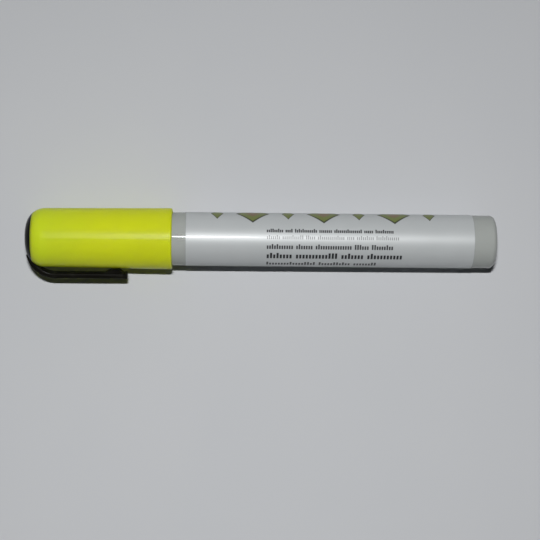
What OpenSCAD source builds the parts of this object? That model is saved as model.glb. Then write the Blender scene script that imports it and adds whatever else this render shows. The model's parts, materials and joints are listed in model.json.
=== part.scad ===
// Pump-action paint marker with a chisel nib, capped and lying on its side.
// Sizes are in millimetres. Each piece is drawn standing on the closed end of the barrel, with the
// height "s" running up towards the cap, and along_pen() then lays it down with its axis along X.

/* [Barrel] */
// Length of the barrel, from its closed end to its mouth
barrel_len = 104; // [96:1:130]
// Outside diameter of the barrel
barrel_d = 15.8; // [14:0.1:18]
// Thickness of the barrel's wall
barrel_wall = 1.1; // [0.8:0.05:1.4]
// Thickness of the barrel's closed end
barrel_floor = 1.6; // [1.2:0.1:3]
// Radius of the rounded edge round the closed end
barrel_edge_r = 1.5; // [0.8:0.1:2.4]
// Step from the barrel down to the neck that the cap slides over
neck_step = 0.35; // [0.2:0.05:0.5]
// Distance from the barrel's mouth to the bead that the cap grips
bead_drop = 4; // [2:0.5:6]
// Length of the cap's grip bead along the barrel
bead_len = 1.6; // [0.8:0.1:2.4]

/* [Label] */
// Thickness of the label film
label_t = 0.1; // [0.05:0.01:0.2]
// Bare barrel behind the label
label_rear_gap = 6.8; // [3:0.1:20]
// Bare barrel between the label and the cap
label_front_gap = 4; // [1:0.1:12]
// Width of the open seam underneath
label_seam = 2.4; // [0.2:0.1:3]

/* [Cap] */
// How far the cap reaches back over the barrel
cap_overlap = 7.7; // [6.5:0.1:12]
// Thickness of the cap's wall
cap_wall = 1.45; // [1.1:0.05:1.7]
// Thickness of the cap's end under the crown
cap_end_t = 1.6; // [1.2:0.1:2.4]
// How much the cap narrows from its rim to its shoulder, on the radius
cap_draft = 0.35; // [0:0.05:0.6]
// Radius of the rounded shoulder
cap_shoulder_r = 5.8; // [4.5:0.1:6.8]
// Radius of the domed end
cap_dome_r = 19; // [14:0.5:40]
// Width of the bevel on the rim
rim_bevel = 0.35; // [0.1:0.05:0.5]

/* [Crown and clip] */
// Thickness of the crown at its middle
crown_t = 2.6; // [2.2:0.1:3.4]
// Width of the yellow shoulder outside the crown
crown_inset = 1.55; // [1:0.05:3]
// Diameter of the stud that holds the crown
stud_d = 4.8; // [3:0.1:6]
// Width of the barb at the end of the stud
barb = 0.5; // [0.3:0.05:0.8]
// Thickness of the barb
barb_t = 0.9; // [0.6:0.1:1.5]
// Width of the clip
clip_w = 4.2; // [3:0.1:6]
// Thickness of the clip
clip_t = 1.65; // [1.2:0.05:2.2]
// Reach of the clip back from the end of the cap
clip_len = 30.4; // [24:0.2:40]
// Space between the clip and the rim of the cap
clip_space = 1.3; // [0.8:0.05:2.5]
// Angle by which the clip hangs below the side of the pen as it lies
clip_turn = 8; // [-20:1:30]
// Outside radius of the clip's bend
clip_bend_r = 8.6; // [6:0.1:9.5]
// How far the top of the clip's bend lies below the top of the dome
clip_root_drop = 0.3; // [0.1:0.05:0.5]
// Distance from the crown's edge in to the root of the clip
clip_root_in = 2.1; // [1.2:0.1:2.4]
// Radius along the edges of the clip
clip_edge_r = 0.5; // [0.2:0.05:0.55]
// Radius of the corners at the clip's tip
clip_tip_r = 1.5; // [0.6:0.1:1.5]
// Length of the ramp that leads up to the clip's nub
nub_ramp = 2.6; // [1.5:0.1:4]
// Length of the flat on top of the nub
nub_flat = 1.4; // [0.5:0.1:3]
// Length of the lead-in from the nub to the tip
nub_lead = 2.8; // [1.5:0.1:4]
// Width of the nub across the clip
nub_w = 3.4; // [2:0.1:3.6]

/* [Cap liner] */
// Thickness of the liner's wall
liner_wall = 0.9; // [0.6:0.05:1.2]
// Thickness of the liner's closed end
liner_floor = 1; // [0.8:0.1:1.6]
// Height of the sealing lip inside the liner's mouth
liner_lip = 0.3; // [0.15:0.05:0.5]
// Length of the sealing lip
liner_lip_len = 1.6; // [0.8:0.1:2.4]
// Number of fins that hold the liner in the cap
fin_count = 6; // [3:1:10]
// Thickness of one fin
fin_t = 0.9; // [0.6:0.1:1.5]
// Length of the fins
fin_len = 13; // [6:0.5:15]

/* [Front section] */
// Depth of the plug inside the barrel
plug_len = 12; // [10.5:0.5:16]
// Length of the flange that stops against the barrel
flange_len = 1.6; // [1:0.1:3]
// Step from the barrel's neck down to the flange
flange_step = 0.25; // [0.1:0.05:0.5]
// Length of the grip between flange and sealing land
grip_len = 7.4; // [5:0.1:14]
// Step from the flange down to the grip
grip_step = 0.7; // [0.4:0.05:1]
// Number of rings round the grip
ring_count = 3; // [1:1:5]
// Length of one ring
ring_len = 0.8; // [0.4:0.1:1]
// Depth of the grooves between the rings
ring_depth = 0.25; // [0.1:0.05:0.4]
// Length of the land that the liner closes on
land_len = 3.5; // [2.6:0.1:6]
// Length of the nose cone
nose_len = 3.7; // [2:0.1:8]
// Thickness of the nose round the nib
nose_wall = 1.15; // [0.8:0.05:1.4]
// How much the nose widens towards the land, on the radius
nose_flare = 0.95; // [0.4:0.05:1.1]
// Number of air grooves along the nib
vent_count = 4; // [3:1:6]
// Width of one air groove
vent_w = 0.9; // [0.5:0.1:1.2]
// Depth of one air groove
vent_depth = 0.5; // [0.3:0.05:0.6]
// Length of the ink chamber behind the nose
chamber_len = 13.5; // [11:0.5:16]
// Thickness of the rubber ring round the plug
seal_d = 1.2; // [0.8:0.1:1.4]
// Distance from the barrel's mouth to the rubber ring
seal_drop = 5.5; // [4:0.1:6.5]

/* [Nib] */
// Diameter of the nib, which is also the width of its edge
nib_d = 6; // [4.5:0.1:7]
// Length of the nib
nib_len = 29; // [25:0.5:30]
// Length of nib that stands out of the nose
nib_out = 9; // [7:0.5:12]
// Free length ahead of the nib inside the liner
nib_room = 4.4; // [3:0.1:8]
// Length of the chisel's two flanks
chisel_len = 5; // [3:0.1:6]
// Thickness of the chisel's edge
chisel_edge = 1.4; // [0.8:0.1:2.4]
// Slant of the chisel's edge, in degrees
chisel_slant = 20; // [0:1:30]

/* [Pump valve] */
// How far the nib and the stem can be pressed in
pump_travel = 2; // [1:0.1:2.5]
// Mean diameter of the spring
spring_d = 4.4; // [3.6:0.1:4.8]
// Thickness of the spring wire
spring_wire = 0.5; // [0.3:0.05:0.6]
// Number of turns, the closed end turns included
spring_turns = 7; // [6:0.5:9]
// Width of the stem's head outside the spring
head_lip = 0.6; // [0.4:0.05:0.9]
// Thickness of the stem's head
head_t = 1.6; // [1:0.1:2]
// Diameter of the pusher in front of the head
pusher_d = 2.8; // [2:0.1:3.4]
// Thickness of the seat washer
seat_t = 1.5; // [1:0.1:1.8]
// Space for ink round the pusher in the seat
seat_gap = 0.5; // [0.3:0.05:0.7]
// Width of the raised lip on the seat
seat_lip_w = 0.5; // [0.3:0.05:0.6]
// Height of the raised lip on the seat
seat_lip_h = 0.3; // [0.1:0.05:0.4]
// Length of the cage
cage_len = 14; // [13:0.5:18]
// Depth of the cage inside the section
cage_grip = 2; // [1.5:0.1:2.4]
// Thickness of the cage's wall and floor
cage_wall = 0.9; // [0.7:0.05:1.1]
// Space for ink between the head and the cage
cage_gap = 0.9; // [0.5:0.05:1]
// Number of windows in the cage
window_count = 4; // [3:1:4]
// Width of one window
window_w = 2.6; // [1.5:0.1:3]
// Length of one window
window_len = 6; // [3:0.5:8]
// Diameter of the hole in the cage's floor
cage_hole_d = 2.4; // [1:0.1:3]

/* [Mixing ball] */
// Diameter of the ball
ball_d = 6; // [4:0.1:7]
// Distance of the ball from the closed end
ball_gap = 0.3; // [0.2:0.1:20]

/* [Clearances] */
// Between the cap and the barrel's neck, on the radius
cap_gap = 0.1; // [0.06:0.01:0.2]
// Between the cap's rim and the barrel's shoulder
stop_gap = 0.15; // [0.1:0.01:0.2]
// Between the cap and the grip bead, on the radius
bead_gap = 0.03; // [0.02:0.01:0.05]
// Between pieces that are pushed together, on the radius
fit_gap = 0.03; // [0.02:0.01:0.05]
// Between the nib and its bore, on the radius
nib_gap = 0.06; // [0.04:0.01:0.1]
// Between the liner's lip and the land, on the radius
lip_gap = 0.05; // [0.03:0.01:0.08]
// Between the clip and the cap
clip_gap = 0.08; // [0.05:0.01:0.15]
// Between a moving valve piece and what it rests on
rest_gap = 0.05; // [0.03:0.01:0.1]
// Between the ball and the barrel under it
ball_float = 0.1; // [0.05:0.01:0.2]

/* [Hidden] */
$fn = 96;

barrel_r = barrel_d / 2;
barrel_bore_r = barrel_r - barrel_wall;
neck_r = barrel_r - neck_step;
label_r = barrel_r + label_t;

nib_r = nib_d / 2;
nib_bore_r = nib_r + nib_gap;
nose_r = nib_bore_r + nose_wall;
land_r = nose_r + nose_flare;
flange_r = neck_r - flange_step;
grip_r = flange_r - grip_step;

stud_r = stud_d / 2;
inside_dome_r = cap_dome_r - cap_wall;

// Heights above the closed end of the barrel
rim_s = barrel_len - cap_overlap;
flange_s = barrel_len + flange_len;
grip_s = flange_s + grip_len;
land_s = grip_s + land_len;
nose_s = land_s + nose_len;
nib_tip_s = nose_s + nib_out;
nib_rear_s = nib_tip_s - nib_len;
liner_floor_s = nib_tip_s + nib_room;
liner_end_s = liner_floor_s + liner_floor;
barb_s = liner_end_s + fit_gap;
barb_top_s = barb_s + barb_t;
cap_inside_s = barb_top_s + inside_dome_r - sqrt(pow(inside_dome_r, 2) - pow(stud_r + barb, 2));
crown_s = cap_inside_s + cap_end_t;
pen_len = crown_s + crown_t;

cap_bore_r = neck_r + cap_gap;
cap_r = cap_bore_r + cap_wall;
cap_top_r = cap_r - cap_draft;
cap_upper_r = cap_top_r - cap_wall;
crown_r = cap_top_r - crown_inset;
liner_bore_r = land_r + lip_gap + liner_lip;
liner_r = liner_bore_r + liner_wall;

plug_s = barrel_len - plug_len;
cage_top_s = plug_s + cage_grip;
cage_s = cage_top_s - cage_len;
cage_floor_s = cage_s + cage_wall;
ledge_s = cage_top_s + seat_t;
chamber_s = ledge_s + chamber_len;

spring_r = spring_d / 2;
head_r = spring_r + spring_wire / 2 + head_lip;
cage_bore_r = head_r + cage_gap;
cage_r = cage_bore_r + cage_wall;
socket_r = cage_r + fit_gap;
chamber_r = nib_r + (socket_r - nib_r) / 2;
pilot_r = spring_r - spring_wire / 2 - cap_gap;
seat_hole_r = pusher_d / 2 + seat_gap;
head_front_s = cage_top_s - seat_lip_h - rest_gap;
head_rear_s = head_front_s - head_t;
pilot_s = cage_floor_s + pump_travel + cage_wall;
spring_len = head_rear_s - cage_floor_s - 2 * rest_gap;

clip_in_r = cap_r + clip_space;
clip_out_r = clip_in_r + clip_t;
clip_tip_s = pen_len - clip_len;
bend_s = pen_len - clip_root_drop - clip_bend_r;
bend_x = clip_out_r - clip_bend_r;
bend_angle = acos((crown_r - clip_root_in - bend_x) / clip_bend_r);

ball_r = ball_d / 2;
ball_s = barrel_floor + ball_gap + ball_r;
ball_drop = barrel_bore_r - ball_r - ball_float;

// Lays a standing piece down along X, with the middle of the pen at the origin and the cap at -X.
module along_pen() {
    translate([pen_len / 2, 0, 0])
        rotate([0, -90, 0])
            children();
}

// Half section of a round solid whose lower edge is rounded.
module round_foot(r, h, edge) {
    square([r - edge, h]);
    translate([0, edge])
        square([r, h - edge]);
    translate([r - edge, edge])
        intersection() {
            circle(edge);
            translate([0, -edge])
                square(edge);
        }
}

// Half section of a round solid with a domed top and a rounded shoulder, narrowing from its foot.
module dome_form(foot_r, r, foot, top, shoulder, dome) {
    start = top - dome + sqrt(pow(dome - shoulder, 2) - pow(r - shoulder, 2));
    meet_r = (r - shoulder) * dome / (dome - shoulder);
    polygon([[0, foot], [foot_r, foot], [r, start], [0, start]]);
    translate([r - shoulder, start])
        intersection() {
            circle(shoulder);
            square(shoulder);
        }
    intersection() {
        translate([0, top - dome])
            circle(dome);
        translate([0, start])
            square([meet_r, top - start]);
    }
}

// Half section of the cap's outside, grown by a gap.
module cap_outside(grow) {
    dome_form(cap_r + grow, cap_top_r + grow, rim_s, pen_len + grow, cap_shoulder_r + grow,
              cap_dome_r + grow);
}

// Repeats a piece evenly round the axis.
module around(count) {
    for (i = [0 : count - 1])
        rotate([0, 0, i * 360 / count])
            children();
}

module barrel() {
    inner_edge_r = max(0.3, barrel_edge_r - barrel_wall);
    bead_r = cap_bore_r - bead_gap;
    bead_s = barrel_len - bead_drop;
    color([0.29, 0.30, 0.28])
        along_pen()
            rotate_extrude() {
                difference() {
                    union() {
                        round_foot(barrel_r, rim_s - stop_gap, barrel_edge_r);
                        translate([0, barrel_edge_r])
                            square([neck_r, barrel_len - barrel_edge_r]);
                    }
                    translate([0, barrel_floor])
                        round_foot(barrel_bore_r, barrel_len, inner_edge_r);
                }
                polygon([[barrel_bore_r, bead_s - bead_len / 2], [neck_r, bead_s - bead_len / 2],
                         [bead_r, bead_s - bead_len / 4], [bead_r, bead_s + bead_len / 4],
                         [neck_r, bead_s + bead_len / 2], [barrel_bore_r, bead_s + bead_len / 2]]);
            }
}

module barrel_label() {
    seam_angle = label_seam / label_r * 180 / PI;
    color([0.36, 0.38, 0.38])
        along_pen()
            rotate([0, 0, 180 + seam_angle / 2])
                rotate_extrude(angle = 360 - seam_angle)
                    translate([barrel_r, label_rear_gap])
                        square([label_t, rim_s - label_front_gap - label_rear_gap]);
}

module front_section() {
    plug_r = barrel_bore_r - fit_gap;
    seal_s = barrel_len - seal_drop;
    groove_r = plug_r - seal_d - fit_gap;
    groove_len = seal_d + 2 * fit_gap;
    ring_pitch = grip_len / (ring_count + 1);
    color([0.75, 0.76, 0.74])
        along_pen()
            difference() {
                rotate_extrude()
                    difference() {
                        union() {
                            translate([0, plug_s])
                                square([plug_r, plug_len]);
                            translate([0, barrel_len])
                                square([flange_r, flange_len]);
                            translate([0, flange_s])
                                square([grip_r - ring_depth, grip_len]);
                            for (i = [1 : ring_count])
                                translate([0, flange_s + i * ring_pitch - ring_len / 2])
                                    square([grip_r, ring_len]);
                            translate([0, grip_s])
                                square([land_r, land_len]);
                            polygon([[0, land_s], [land_r, land_s], [nose_r, nose_s], [0, nose_s]]);
                        }
                        translate([groove_r, seal_s - groove_len / 2])
                            square([seal_d * 2, groove_len]);
                        translate([0, plug_s - 1])
                            square([socket_r, ledge_s - plug_s + 1]);
                        translate([0, ledge_s - 1])
                            square([chamber_r, chamber_len + 1]);
                        translate([0, chamber_s - 1])
                            square([nib_bore_r, nose_s - chamber_s + 2]);
                    }
                around(vent_count)
                    translate([0, -vent_w / 2, chamber_s - 1])
                        cube([nib_bore_r + vent_depth, vent_w, nose_s - chamber_s + 2]);
            }
}

module section_seal() {
    seal_s = barrel_len - seal_drop;
    color([0.02, 0.02, 0.02])
        along_pen()
            translate([0, 0, seal_s])
                rotate_extrude()
                    translate([barrel_bore_r - fit_gap - seal_d / 2, 0])
                        circle(seal_d / 2);
}

module nib() {
    flank = atan((nib_r - chisel_edge / 2) / chisel_len);
    color([0.80, 0.84, 0.22])
        along_pen()
            difference() {
                translate([0, 0, nib_rear_s])
                    cylinder(r = nib_r, h = nib_len);
                for (side = [0, 180])
                    rotate([0, 0, side])
                        translate([nib_r, 0, nib_tip_s - chisel_len])
                            rotate([0, -flank, 0])
                                translate([0, -nib_d, 0])
                                    cube([nib_d, 2 * nib_d, 2 * chisel_len]);
                translate([0, -nib_r, nib_tip_s])
                    rotate([-chisel_slant, 0, 0])
                        translate([-nib_d, -nib_d, 0])
                            cube([2 * nib_d, 4 * nib_d, nib_d]);
            }
}

module valve_seat() {
    color([0.05, 0.05, 0.05])
        along_pen()
            rotate_extrude() {
                translate([seat_hole_r, cage_top_s])
                    square([cage_r - seat_hole_r, seat_t]);
                translate([seat_hole_r, cage_top_s - seat_lip_h])
                    square([seat_lip_w, seat_lip_h]);
            }
}

module valve_stem() {
    pusher_s = nib_rear_s - rest_gap;
    color([0.82, 0.82, 0.80])
        along_pen()
            difference() {
                rotate_extrude()
                    polygon([[0, pilot_s], [pilot_r * 0.7, pilot_s], [pilot_r, pilot_s + pilot_r * 0.3],
                             [pilot_r, head_rear_s], [head_r, head_rear_s], [head_r, head_front_s],
                             [pusher_d / 2, head_front_s], [pusher_d / 2, pusher_s], [0, pusher_s]]);
                around(vent_count)
                    translate([pusher_d / 4, -pusher_d / 8, head_front_s + head_t / 2])
                        cube([pusher_d, pusher_d / 4, pusher_s - head_front_s]);
            }
}

module valve_spring() {
    steps = 18;
    sides = 8;
    rings = round(spring_turns * steps);
    closed = spring_wire * 1.06;
    rise = spring_len - spring_wire;
    open = (rise - 2 * closed) / (spring_turns - 2);
    function coil_s(t) = min(t, 1) * closed + max(0, min(t - 1, spring_turns - 2)) * open
                         + max(0, t - spring_turns + 1) * closed;
    points = [for (i = [0 : rings], k = [0 : sides - 1])
        let (t = i * spring_turns / rings, turn = t * 360, side = k * 360 / sides,
             r = spring_r + spring_wire / 2 * cos(side))
        [r * cos(turn), r * sin(turn), coil_s(t) + spring_wire / 2 * sin(side)]];
    walls = [for (i = [0 : rings - 1], k = [0 : sides - 1])
        let (a = i * sides + k, b = i * sides + (k + 1) % sides)
        each [[a, b, b + sides], [a, b + sides, a + sides]]];
    first_end = [for (k = [1 : sides - 2]) [0, k + 1, k]];
    last_end = [for (k = [1 : sides - 2]) [rings * sides, rings * sides + k, rings * sides + k + 1]];
    color([0.55, 0.56, 0.58])
        along_pen()
            translate([0, 0, cage_floor_s + rest_gap + spring_wire / 2])
                polyhedron(points, concat(walls, first_end, last_end));
}

module valve_cage() {
    window_s = cage_floor_s + cage_wall;
    color([0.78, 0.80, 0.80])
        along_pen()
            difference() {
                rotate_extrude()
                    difference() {
                        translate([0, cage_s])
                            square([cage_r, cage_len]);
                        translate([0, cage_floor_s])
                            square([cage_bore_r, cage_len]);
                        translate([0, cage_s - 1])
                            square([cage_hole_d / 2, cage_len]);
                    }
                around(window_count)
                    translate([0, -window_w / 2, window_s])
                        cube([2 * cage_r, window_w, window_len]);
            }
}

module mixing_ball() {
    color([0.60, 0.60, 0.60])
        along_pen()
            translate([-ball_drop, 0, ball_s])
                sphere(ball_r);
}

module cap_shell() {
    neck_s = flange_s + cap_wall;
    color([0.53, 0.59, 0.03])
        along_pen()
            rotate_extrude()
                difference() {
                    cap_outside(0);
                    translate([0, rim_s - 1])
                        square([cap_bore_r, neck_s - rim_s + 1]);
                    dome_form(cap_upper_r, cap_upper_r, neck_s - 1, cap_inside_s,
                              cap_shoulder_r - cap_wall, inside_dome_r);
                    translate([0, cap_inside_s - 1])
                        square([stud_r + fit_gap, pen_len]);
                    translate([0, crown_s])
                        square([crown_r + fit_gap, pen_len]);
                    polygon([[cap_r - rim_bevel, rim_s], [cap_r + 1, rim_s - 1],
                             [cap_r + 1, rim_s + rim_bevel + 1], [cap_r, rim_s + rim_bevel]]);
                    polygon([[cap_bore_r - 1, rim_s - 1], [cap_bore_r + rim_bevel + 1, rim_s - 1],
                             [cap_bore_r - 1, rim_s + rim_bevel + 1]]);
                }
}

module cap_liner() {
    mouth_s = grip_s + land_len / 4;
    end_r = liner_r / 3;
    fin_s = mouth_s + liner_lip_len;
    color([0.80, 0.81, 0.80])
        along_pen() {
            rotate_extrude()
                difference() {
                    translate([0, liner_end_s])
                        mirror([0, 1])
                            round_foot(liner_r, liner_end_s - mouth_s, end_r);
                    translate([0, mouth_s - 1])
                        square([liner_bore_r - liner_lip, liner_lip_len + 2]);
                    translate([0, mouth_s + liner_lip_len])
                        square([liner_bore_r, liner_floor_s - mouth_s - liner_lip_len]);
                }
            around(fin_count)
                translate([liner_r - liner_wall / 2, -fin_t / 2, fin_s])
                    cube([sqrt(pow(cap_upper_r - fit_gap, 2) - fin_t * fin_t / 4) - liner_r
                          + liner_wall / 2, fin_t, fin_len]);
        }
}

// Cross-section of the clip, with rounded edges and its outer face at x = 0.
module strap_section() {
    translate([-clip_t, -clip_w / 2 + clip_edge_r])
        square([clip_t, clip_w - 2 * clip_edge_r]);
    translate([-clip_t + clip_edge_r, -clip_w / 2])
        square([clip_t - 2 * clip_edge_r, clip_w]);
    for (x = [-clip_t + clip_edge_r, -clip_edge_r], y = [-1, 1])
        translate([x, y * (clip_w / 2 - clip_edge_r)])
            circle(clip_edge_r, $fn = 32);
}

// Outline of the clip's arm seen from outside, with rounded corners at the tip.
module arm_outline() {
    translate([clip_tip_s + clip_tip_r, -clip_w / 2])
        square([clip_len, clip_w]);
    translate([clip_tip_s, -clip_w / 2 + clip_tip_r])
        square([clip_len, clip_w - 2 * clip_tip_r]);
    for (y = [-1, 1])
        translate([clip_tip_s + clip_tip_r, y * (clip_w / 2 - clip_tip_r)])
            circle(clip_tip_r, $fn = 48);
}

// The clip's strap, with x outwards from the axis, y along the pen and z across the clip.
module strap() {
    nub_x = cap_r + clip_gap;
    nub_base_x = clip_in_r + clip_edge_r;
    nub_end_s = clip_tip_s + nub_lead;
    ramp_s = nub_end_s + nub_flat + nub_ramp * (nub_base_x - nub_x) / (clip_in_r - nub_x);
    translate([bend_x, bend_s, 0])
        rotate_extrude(angle = bend_angle)
            translate([clip_bend_r, 0])
                strap_section();
    intersection() {
        translate([bend_x, bend_s, 0])
            rotate([90, 0, 0])
                linear_extrude(bend_s - clip_tip_s)
                    translate([clip_bend_r, 0])
                        strap_section();
        rotate([0, 90, 0])
            rotate([0, 0, 90])
                linear_extrude(2 * clip_out_r)
                    arm_outline();
    }
    linear_extrude(nub_w, center = true)
        polygon([[nub_base_x, ramp_s], [nub_x, nub_end_s + nub_flat], [nub_x, nub_end_s],
                 [nub_base_x, clip_tip_s + clip_edge_r]]);
}

module cap_clip() {
    color([0.010, 0.010, 0.008])
        along_pen() {
            rotate_extrude() {
                intersection() {
                    cap_outside(0);
                    translate([0, crown_s])
                        square([crown_r, crown_t]);
                }
                translate([0, barb_top_s])
                    square([stud_r, crown_s + crown_t / 2 - barb_top_s]);
                polygon([[0, barb_s], [stud_r - barb, barb_s], [stud_r + barb, barb_top_s],
                         [0, barb_top_s]]);
            }
            difference() {
                rotate([0, 0, -clip_turn])
                    rotate([90, 0, -90])
                        strap();
                rotate_extrude()
                    difference() {
                        cap_outside(clip_gap);
                        translate([0, crown_s + clip_gap])
                            square([crown_r - clip_gap, pen_len]);
                    }
            }
        }
}

barrel();
barrel_label();
front_section();
section_seal();
nib();
valve_seat();
valve_stem();
valve_spring();
valve_cage();
mixing_ball();
cap_shell();
cap_liner();
cap_clip();
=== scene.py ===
"""Looks of a capped pump-action paint marker on pale paper, under one small lamp and a weak sky."""

import json
import math

import bpy
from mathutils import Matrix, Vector


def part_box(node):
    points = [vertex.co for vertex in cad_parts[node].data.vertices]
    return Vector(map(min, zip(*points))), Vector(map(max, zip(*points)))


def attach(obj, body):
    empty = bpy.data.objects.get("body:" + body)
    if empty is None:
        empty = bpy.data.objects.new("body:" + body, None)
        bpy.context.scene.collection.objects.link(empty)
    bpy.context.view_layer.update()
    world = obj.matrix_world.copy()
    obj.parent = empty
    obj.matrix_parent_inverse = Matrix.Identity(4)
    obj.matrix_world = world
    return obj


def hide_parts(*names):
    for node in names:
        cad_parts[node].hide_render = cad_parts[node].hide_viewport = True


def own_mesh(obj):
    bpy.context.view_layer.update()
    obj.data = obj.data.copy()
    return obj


MM = 0.001

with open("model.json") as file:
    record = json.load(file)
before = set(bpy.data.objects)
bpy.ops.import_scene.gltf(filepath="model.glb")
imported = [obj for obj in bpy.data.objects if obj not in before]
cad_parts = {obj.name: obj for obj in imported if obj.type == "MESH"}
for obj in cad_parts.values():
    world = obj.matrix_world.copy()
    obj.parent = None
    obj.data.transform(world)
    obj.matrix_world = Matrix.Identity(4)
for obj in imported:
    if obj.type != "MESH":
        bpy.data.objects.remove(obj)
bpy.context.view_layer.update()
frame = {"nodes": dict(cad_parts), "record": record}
nodes = frame["nodes"]

# The pen lies along X with its cap at -X and its clip at -Y.
PEN_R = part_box("barrel_label")[1].z
LABEL_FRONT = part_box("barrel_label")[0].x
LABEL_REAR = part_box("barrel_label")[1].x
RIM_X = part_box("cap_shell")[1].x
RIM_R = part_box("cap_shell")[1].z
CAP_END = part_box("cap_shell")[0].x


class Val:
    """A shader socket. Python's operators on it add Math nodes."""

    def __init__(self, sheet, socket):
        self.sheet = sheet
        self.socket = socket

    def math(self, operation, *others):
        return self.sheet.math(operation, self, *others)

    def __add__(self, other):
        return self.math("ADD", other)

    __radd__ = __add__

    def __sub__(self, other):
        return self.math("SUBTRACT", other)

    def __rsub__(self, other):
        return self.sheet.math("SUBTRACT", other, self)

    def __mul__(self, other):
        return self.math("MULTIPLY", other)

    __rmul__ = __mul__

    def __truediv__(self, other):
        return self.math("DIVIDE", other)

    def __gt__(self, other):
        return self.math("GREATER_THAN", other)

    def __lt__(self, other):
        return self.math("LESS_THAN", other)

    def __abs__(self):
        return self.math("ABSOLUTE")


class Sheet:
    """A material, or the world, whose nodes are added one by one."""

    def __init__(self, name, kept_in=bpy.data.materials, place="Object"):
        self.owner = kept_in.new(name)
        self.owner.use_nodes = True
        self.tree = self.owner.node_tree
        self.tree.nodes.clear()
        self.place = self.node("ShaderNodeTexCoord", output=place)

    def node(self, kind, settings=None, inputs=None, output=0):
        """Adds a node with its settings, then the values or links of its sockets."""
        made = self.tree.nodes.new(kind)
        for name, value in (settings or {}).items():
            if name == "stops":
                elements = made.color_ramp.elements
                while len(elements) < len(value):
                    elements.new(1.0)
                for element, (position, colour) in zip(elements, value):
                    element.position = position
                    element.color = colour
            elif name == "interpolation":
                made.color_ramp.interpolation = value
            else:
                setattr(made, name, value)
        for name, value in (inputs or {}).items():
            socket = made.inputs[name]
            if isinstance(value, Val):
                self.tree.links.new(value.socket, socket)
            else:
                socket.default_value = value
        return Val(self, made.outputs[output])

    def math(self, operation, *values):
        return self.node("ShaderNodeMath", {"operation": operation}, dict(enumerate(values)))

    def axes(self):
        """The object's x, y and z in millimetres."""
        parts = self.node("ShaderNodeSeparateXYZ", inputs={0: self.place}).socket.node.outputs
        return [Val(self, part) / MM for part in parts]

    def noise(self, per_mm, detail=3.0, rough=0.5, stretch=(1, 1, 1)):
        """Cloudy values about 0.5, with so many swells to the millimetre."""
        scale = [per_mm / MM * s for s in stretch]
        vector = self.node("ShaderNodeMapping", inputs={"Vector": self.place, "Scale": scale})
        return self.node("ShaderNodeTexNoise", inputs={
            "Vector": vector, "Scale": 1.0, "Detail": detail, "Roughness": rough})

    def ramp(self, value, first, last, out_first=0.0, out_last=1.0):
        """Eases from one value to another between two ends."""
        return self.node("ShaderNodeMapRange", {"interpolation_type": "SMOOTHSTEP"}, {
            "Value": value, "From Min": first, "From Max": last,
            "To Min": out_first, "To Max": out_last})

    def step(self, value, edge, soft):
        """0 below an edge and 1 above it."""
        return self.ramp(value, edge - soft, edge + soft)

    def band(self, value, low, high, soft):
        """1 between low and high, with soft ends."""
        return self.step(value, low, soft) * (1 - self.step(value, high, soft))

    def mix(self, share, first, second):
        """A colour between two others."""
        return self.node("ShaderNodeMix", {"data_type": "RGBA"}, {
            "Factor": share, 6: first, 7: second}, output=2)

    def bump(self, height, depth_mm):
        """A normal that follows a height."""
        return self.node("ShaderNodeBump", inputs={
            "Height": height, "Strength": 1.0, "Distance": depth_mm * MM})

    def surface(self, **sockets):
        """Ends the material in one principled shader."""
        inputs = {name.replace("_", " "): value for name, value in sockets.items()}
        return self.end(self.node("ShaderNodeBsdfPrincipled", inputs=inputs))

    def end(self, shader, kind="ShaderNodeOutputMaterial"):
        """Links the last shader to the output."""
        last = self.tree.nodes.new(kind)
        self.tree.links.new(shader.socket, last.inputs["Surface"])
        return self.owner


def rgb(red, green, blue):
    return (red, green, blue, 1.0)


# Finishes

# The cap's yellow, its tint at the crown, the paler clouds in both, and where the tint begins.
CAP_YELLOW = rgb(0.62, 0.690, 0.018)
CAP_GREENER = rgb(0.55, 0.675, 0.026)
CAP_PALER = rgb(0.68, 0.73, 0.028)
GREENER_FROM = -44.0


def cap_plastic():
    """Fluorescent yellow, satin, greener towards the crown."""
    s = Sheet("cap_plastic")
    x, _, _ = s.axes()
    towards_crown = s.ramp(x, GREENER_FROM, CAP_END / MM)
    cloud = s.noise(0.12, detail=2.0)
    body = s.mix(towards_crown, CAP_YELLOW, CAP_GREENER)
    colour = s.mix(cloud * 0.25, body, CAP_PALER)
    grain = s.noise(5.0, detail=2.0)
    scuffs = s.noise(1.4, detail=4.0, rough=0.65, stretch=(0.25, 1, 1))
    return s.surface(
        Base_Color=colour, Roughness=0.27 + 0.10 * scuffs, Normal=s.bump(grain, depth_mm=0.004),
        Specular_IOR_Level=0.085, Subsurface_Weight=0.8, Subsurface_Radius=(1.0, 1.0, 0.15),
        Subsurface_Scale=4.0 * MM)


CLIP_BLACK = rgb(0.0060, 0.0056, 0.0045)
CLIP_WORN = rgb(0.013, 0.0125, 0.0105)


def clip_plastic():
    """Black, slightly glossy, with light handling marks."""
    s = Sheet("clip_plastic")
    marks = s.noise(1.2, detail=5.0, rough=0.7, stretch=(0.2, 1, 1))
    colour = s.mix(s.step(marks, edge=0.60, soft=0.08), CLIP_BLACK, CLIP_WORN)
    grain = s.noise(6.0, detail=2.0)
    return s.surface(
        Base_Color=colour, Roughness=0.18 + 0.12 * marks, Specular_IOR_Level=0.04,
        Normal=s.bump(grain, depth_mm=0.003))


BARREL_GREY = rgb(0.345, 0.363, 0.347)
BARREL_PALER = rgb(0.375, 0.393, 0.377)


def barrel_plastic():
    """Light grey, glossy from the mould."""
    s = Sheet("barrel_plastic")
    cloud = s.noise(0.2)
    waves = s.noise(0.5, detail=1.0)
    return s.surface(
        Base_Color=s.mix(cloud, BARREL_GREY, BARREL_PALER), Roughness=0.02 + 0.02 * cloud,
        Specular_IOR_Level=0.10, Normal=s.bump(waves, depth_mm=0.0002))


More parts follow.
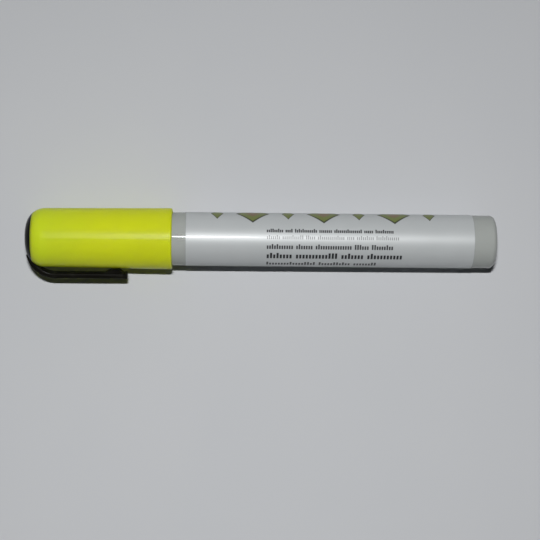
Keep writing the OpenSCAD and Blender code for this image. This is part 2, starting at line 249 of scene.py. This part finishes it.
# Rows of print that spells nothing: place round from the top and height in millimetres, the words'
# lengths in strokes, the share of a stroke that is inked, and the share of ink.
PRINT_ROWS = [
    (3.0, 1.15, (9, 4, 12, 7, 15, 5, 10), 0.74, 0.96),
    (1.0, 1.20, (7, 11, 5, 14, 4, 9, 12), 0.46, 0.66),
    (-1.8, 1.50, (11, 7, 15, 6, 9), 0.66, 0.96),
    (-4.8, 2.00, (8, 13, 7, 11), 0.66, 1.0),
    (-8.3, 1.80, (17, 11, 8), 0.66, 0.95),
]
PRINT_START = 1.5
PRINT_SOFT = 0.05

# The strokes' pitch and the lower strokes' height as shares of a row's height, a stroke's soft edge
# as a share of the pitch, the draw above which a stroke is tall, and the draws' step from row to row.
STROKE_PITCH = 0.48
SHORT_STROKE = 0.72
STROKE_SOFT = 0.06
TALL_ABOVE = 0.76
ROW_STEP = 57.0


def print_row(s, x, round_top, row, seed):
    """Strokes of two heights in words along the label."""
    middle, height, words, inked, share = row
    pitch = STROKE_PITCH * height
    count = sum(words) + len(words) - 1
    along = (x - PRINT_START) / pitch
    stops, place = [(0.0, rgb(1, 1, 1))], 0
    for length in words[:-1]:
        place += length
        stops.append((place / count, rgb(0, 0, 0)))
        place += 1
        stops.append((place / count, rgb(1, 1, 1)))
    in_word = s.node("ShaderNodeValToRGB", {"interpolation": "CONSTANT", "stops": stops}, {
        "Fac": along / count})
    stroke = s.band(along.math("FRACT"), 0.5 - inked / 2, 0.5 + inked / 2, STROKE_SOFT)
    draw = s.node("ShaderNodeTexWhiteNoise", {"noise_dimensions": "1D"}, {
        "W": along.math("FLOOR") + ROW_STEP * seed})
    base = middle - height / 2
    top = base + height * (SHORT_STROKE + (1 - SHORT_STROKE) * (draw > TALL_ABOVE))
    tall = s.step(round_top, base, PRINT_SOFT) * (1 - s.step(round_top - top, 0.0, PRINT_SOFT))
    return in_word * stroke * tall * (along > 0.0) * (along < float(count)) * share


# A frieze of nested lozenges along the label's far side: its place round from the top, its pitch,
# its ends and their margin, and the half-lengths of the lozenges along the pen and round it.
FRIEZE_MIDDLE = 10.2
FRIEZE_PITCH = 21.0
FRIEZE_ENDS = (-13.0, 50.0)
FRIEZE_MARGIN = 2.5
BIG_LOZENGE = (5.0, 4.6)
SMALL_LOZENGE = (1.9, 3.2)

# How far the fill and the heart of a lozenge reach, as shares of its size, and the soft edges of its
# border and of those two, in the same shares.
FILL_REACH = 0.86
HEART_REACH = 0.42
BORDER_SOFT = 0.04
FILL_SOFT = 0.03

# The film's cut edges show as dark lines, partly the edge's own colour and partly painted shade of
# the film's step there: their width, their soft side and how dark they are.
CUT_SHADE_WIDTH = 0.14
CUT_SHADE_SOFT = 0.03
CUT_SHADE_SHARE = 0.55

FILM_GREY = rgb(0.477, 0.500, 0.505)
FILM_PALER = rgb(0.511, 0.534, 0.541)
# The dark line at the film's cut edges, partly the edge's colour and partly painted shade of the
# step.
FILM_CUT_SHADE = rgb(0.16, 0.17, 0.17)
PRINT_INK = rgb(0.012, 0.013, 0.015)
LOZENGE_BORDER = rgb(0.030, 0.034, 0.016)
LOZENGE_OLIVE = rgb(0.150, 0.182, 0.044)
LOZENGE_HEART = rgb(0.190, 0.130, 0.060)


def lozenge(x, round_top, shift, halves):
    """0 at the middle of each lozenge of the frieze and 1 on its edge."""
    half_long, half_round = halves
    turn = ((x - FRIEZE_ENDS[0]) / FRIEZE_PITCH + shift).math("FRACT")
    off = abs(turn - 0.5) * FRIEZE_PITCH
    return off / half_long + abs(round_top - FRIEZE_MIDDLE) / half_round


def label_film():
    """Silver-grey film with rows of dark print and a frieze of olive lozenges."""
    s = Sheet("label_film")
    x, y, z = s.axes()
    round_top = y.math("ARCTAN2", z) * (PEN_R / MM)
    film = s.mix(s.noise(0.15, detail=2.0), FILM_GREY, FILM_PALER)
    first, last = FRIEZE_ENDS
    in_frieze = s.band(x, first - FRIEZE_MARGIN, last + FRIEZE_MARGIN, PRINT_SOFT)
    big = lozenge(x, round_top, 0.0, BIG_LOZENGE)
    small = lozenge(x, round_top, 0.5, SMALL_LOZENGE)
    nearest = big.math("MINIMUM", small)
    border = (1 - s.step(nearest, 1.0, BORDER_SOFT)) * in_frieze
    fill = (1 - s.step(nearest, FILL_REACH, FILL_SOFT)) * in_frieze
    heart = (1 - s.step(big, HEART_REACH, FILL_SOFT)) * in_frieze
    ink = sum(print_row(s, x, round_top, row, seed) for seed, row in enumerate(PRINT_ROWS))
    # Dark bands at both ends of the film: its cut edges, with painted shade of the step there.
    cut_and_shade = 1 - s.band(x, LABEL_FRONT / MM + CUT_SHADE_WIDTH, LABEL_REAR / MM - CUT_SHADE_WIDTH, CUT_SHADE_SOFT)
    colour = film
    for share, tint in (
            (border, LOZENGE_BORDER), (fill, LOZENGE_OLIVE), (heart, LOZENGE_HEART),
            (ink, PRINT_INK), (cut_and_shade * CUT_SHADE_SHARE, FILM_CUT_SHADE)):
        colour = s.mix(share, colour, tint)
    printed = (ink + border).math("MINIMUM", 1.0)
    drawn = s.noise(12.0, detail=2.0, stretch=(0.04, 1, 1))
    return s.surface(
        Base_Color=colour, Metallic=0.07 * (1 - printed), Roughness=0.40 + 0.06 * drawn,
        Normal=s.bump(drawn, depth_mm=0.004), Coat_Weight=0.10, Coat_Roughness=0.10)


def white_plastic(name, tint, roughness):
    """Natural white moulding, a little cloudy."""
    s = Sheet(name)
    colour = s.mix(s.noise(0.5), rgb(*tint), rgb(*[0.92 * t for t in tint]))
    grain = s.noise(5.0, detail=2.0)
    return s.surface(
        Base_Color=colour, Roughness=roughness + 0.1 * s.noise(2.0),
        Normal=s.bump(grain, depth_mm=0.003), Subsurface_Weight=0.1,
        Subsurface_Radius=(1.0, 1.0, 0.9), Subsurface_Scale=0.3 * MM)


FELT_WET = rgb(0.50, 0.55, 0.03)
FELT_PALER = rgb(0.78, 0.80, 0.16)


def nib_felt():
    """Pressed felt, wet with yellow paint, its fibres along the nib."""
    s = Sheet("nib_felt")
    fibres = s.noise(4.0, detail=4.0, rough=0.7, stretch=(0.12, 1, 1))
    return s.surface(
        Base_Color=s.mix(fibres, FELT_WET, FELT_PALER), Roughness=0.62 + 0.25 * fibres,
        Normal=s.bump(fibres, depth_mm=0.06))


RUBBER_BLACK = rgb(0.022, 0.022, 0.022)
RUBBER_DUSTY = rgb(0.045, 0.045, 0.043)


def seal_rubber():
    """Matt black rubber."""
    s = Sheet("seal_rubber")
    dust = s.noise(3.0, detail=4.0, rough=0.7)
    return s.surface(
        Base_Color=s.mix(dust, RUBBER_BLACK, RUBBER_DUSTY), Roughness=0.55 + 0.2 * dust,
        Normal=s.bump(dust, depth_mm=0.01))


def steel(name, tint, roughness):
    """Bare steel with a fine grain."""
    s = Sheet(name)
    grain = s.noise(8.0, rough=0.6)
    colour = s.mix(grain, rgb(*tint), rgb(*[0.85 * t for t in tint]))
    return s.surface(
        Base_Color=colour, Metallic=1.0, Roughness=roughness + 0.1 * grain,
        Normal=s.bump(grain, depth_mm=0.002))


natural_white = white_plastic("valve_plastic", (0.80, 0.81, 0.80), 0.40)
rubber = seal_rubber()
FINISHES = {
    "barrel": barrel_plastic(),
    "barrel_label": label_film(),
    "front_section": white_plastic("section_plastic", (0.75, 0.76, 0.74), 0.35),
    "section_seal": rubber,
    "nib": nib_felt(),
    "valve_seat": rubber,
    "valve_stem": natural_white,
    "valve_spring": steel("spring_steel", (0.55, 0.56, 0.58), 0.25),
    "valve_cage": natural_white,
    "mixing_ball": steel("ball_steel", (0.60, 0.60, 0.60), 0.10),
    "cap_shell": cap_plastic(),
    "cap_liner": natural_white,
    "cap_clip": clip_plastic(),
}
for node, finish in FINISHES.items():
    nodes[node].data.materials.clear()
    nodes[node].data.materials.append(finish)


# The coil

MERGE_WITHIN = 0.001 * MM
SMOOTH_ANGLE = math.radians(40)


def spring_coil():
    """A copy of the spring's node, merged, smoothed and attached to the pen body in the spring's
    place.
    """
    node = nodes["valve_spring"]
    bpy.ops.object.select_all(action="DESELECT")
    coil = node.copy()
    coil.data = node.data.copy()
    coil.name = "spring_coil"
    coil.parent = None
    bpy.context.scene.collection.objects.link(coil)
    coil.select_set(True)
    bpy.context.view_layer.objects.active = coil
    bpy.ops.object.mode_set(mode="EDIT")
    bpy.ops.mesh.select_all(action="SELECT")
    bpy.ops.mesh.remove_doubles(threshold=MERGE_WITHIN)
    bpy.ops.object.mode_set(mode="OBJECT")
    bpy.ops.object.shade_smooth_by_angle(angle=SMOOTH_ANGLE)
    low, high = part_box("valve_spring")
    length = high.x - low.x
    joints = {joint["name"]: joint for joint in frame["record"]["behaviour"]["joints"]}
    travel = joints["valve_lift"]["range_m"][1]
    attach(coil, "pen_body")
    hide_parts("valve_spring")
    (length - travel) / length
    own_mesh(coil)


spring_coil()


# Paper, light and camera

# The flash: its middle, the point that it faces, its sides and its power.
FLASH_PLACE = Vector((-21, 98, 500)) * MM
FLASH_AIM = Vector((0, -635, 0)) * MM
FLASH_SIDES = (46 * MM, 12 * MM)
FLASH_POWER = 3.19

# The sky's colour, its strength at the horizon, overhead and where the view meets it, and the
# height, as a sine, at which the glow of the horizon ends.
SKY_COLOUR = rgb(0.95, 0.98, 1.0)
HORIZON = 0.3
OVERHEAD = 0.010
BACKDROP = 0.43
GLOW_TOP = 0.4

# The paper's half-width in metres, its two tones, its colour as the flash lights it at the pen, and
# the share of that colour that it keeps far off.
PAPER_REACH = 1.6
PAPER_TONE = rgb(0.535, 0.550, 0.572)
PAPER_PALER = rgb(0.565, 0.575, 0.592)
PAPER_LIT = rgb(0.503, 0.515, 0.533)
PAPER_KEEPS = 0.80

# The camera's lens and sensor in millimetres, the nearest that it sees, its place and its turn.
LENS = 94.85
SENSOR = 36.0
NEAREST = 10 * MM
CAMERA_PLACE = Vector((-13.37, 12.6, 425)) * MM
CAMERA_TURN = [math.radians(degrees) for degrees in (-2.943, -2.164, 0.652)]


def flash_at(x, y):
    """How strongly the flash lights a place on the paper, given in millimetres."""
    facing = (FLASH_AIM - FLASH_PLACE).normalized()
    middle = FLASH_PLACE / MM
    across, along = x - middle.x, y - middle.y
    ahead = across * facing.x + along * facing.y - middle.z * facing.z
    square = across * across + along * along + middle.z * middle.z
    return ahead / (square * square)


def paper_finish():
    """Pale paper. Where the flash fades far off, the view and reflections still see it pale."""
    s = Sheet("paper")
    x, y, _ = s.axes()
    fibres = s.noise(1.5, detail=5.0, rough=0.7)
    tone = s.mix(s.noise(0.02, detail=2.0), PAPER_TONE, PAPER_PALER)
    lit = (flash_at(x, y) / flash_at(0.0, 0.0)).math("MAXIMUM", 0.0)
    lacking = (PAPER_KEEPS - lit).math("MAXIMUM", 0.0)
    seen = [s.node("ShaderNodeLightPath", output=f"Is {ray} Ray")
            for ray in ("Camera", "Glossy", "Transmission")]
    return s.surface(
        Base_Color=tone, Roughness=0.9, Normal=s.bump(fibres, depth_mm=0.01),
        Emission_Color=s.mix(lacking, rgb(0, 0, 0), PAPER_LIT),
        Emission_Strength=sum(seen).math("MINIMUM", 1.0))


def paper():
    """A sheet that touches the cap's rim and the label's rear edge."""
    slope = (RIM_R - PEN_R) / (LABEL_REAR - RIM_X)
    bpy.ops.object.select_all(action="DESELECT")
    bpy.ops.mesh.primitive_plane_add(size=2 * PAPER_REACH)
    sheet = bpy.context.object
    sheet.name = "paper"
    for vertex in sheet.data.vertices:
        vertex.co.z = -RIM_R + slope * (vertex.co.x - RIM_X)
    sheet.data.materials.append(paper_finish())


def flash():
    """One small rectangular lamp, long in X."""
    data = bpy.data.lights.new("flash", "AREA")
    data.shape = "RECTANGLE"
    data.size, data.size_y = FLASH_SIDES
    data.energy = FLASH_POWER
    made = bpy.data.objects.new("flash", data)
    bpy.context.scene.collection.objects.link(made)
    made.location = FLASH_PLACE
    made.rotation_euler = (FLASH_PLACE - FLASH_AIM).to_track_quat("Z", "Y").to_euler()


def sky():
    """Soft light from all round, most of it from near the horizon."""
    s = Sheet("sky", bpy.data.worlds, "Generated")
    height = s.node("ShaderNodeSeparateXYZ", inputs={0: s.place}, output="Z")
    level = s.ramp(height, 0.0, GLOW_TOP, HORIZON, OVERHEAD)
    seen = s.node("ShaderNodeLightPath", output="Is Camera Ray")
    strength = level + seen * (BACKDROP - level)
    shader = s.node("ShaderNodeBackground", inputs={"Color": SKY_COLOUR, "Strength": strength})
    bpy.context.scene.world = s.end(shader, "ShaderNodeOutputWorld")


def camera():
    """Looks almost straight down, a little turned and tilted."""
    data = bpy.data.cameras.new("camera")
    data.sensor_width = SENSOR
    data.lens = LENS
    data.clip_start = NEAREST
    made = bpy.data.objects.new("camera", data)
    bpy.context.scene.collection.objects.link(made)
    made.location = CAMERA_PLACE
    made.rotation_euler = CAMERA_TURN
    bpy.context.scene.camera = made


paper()
flash()
sky()
camera()
bpy.context.scene.view_settings.view_transform = "Standard"
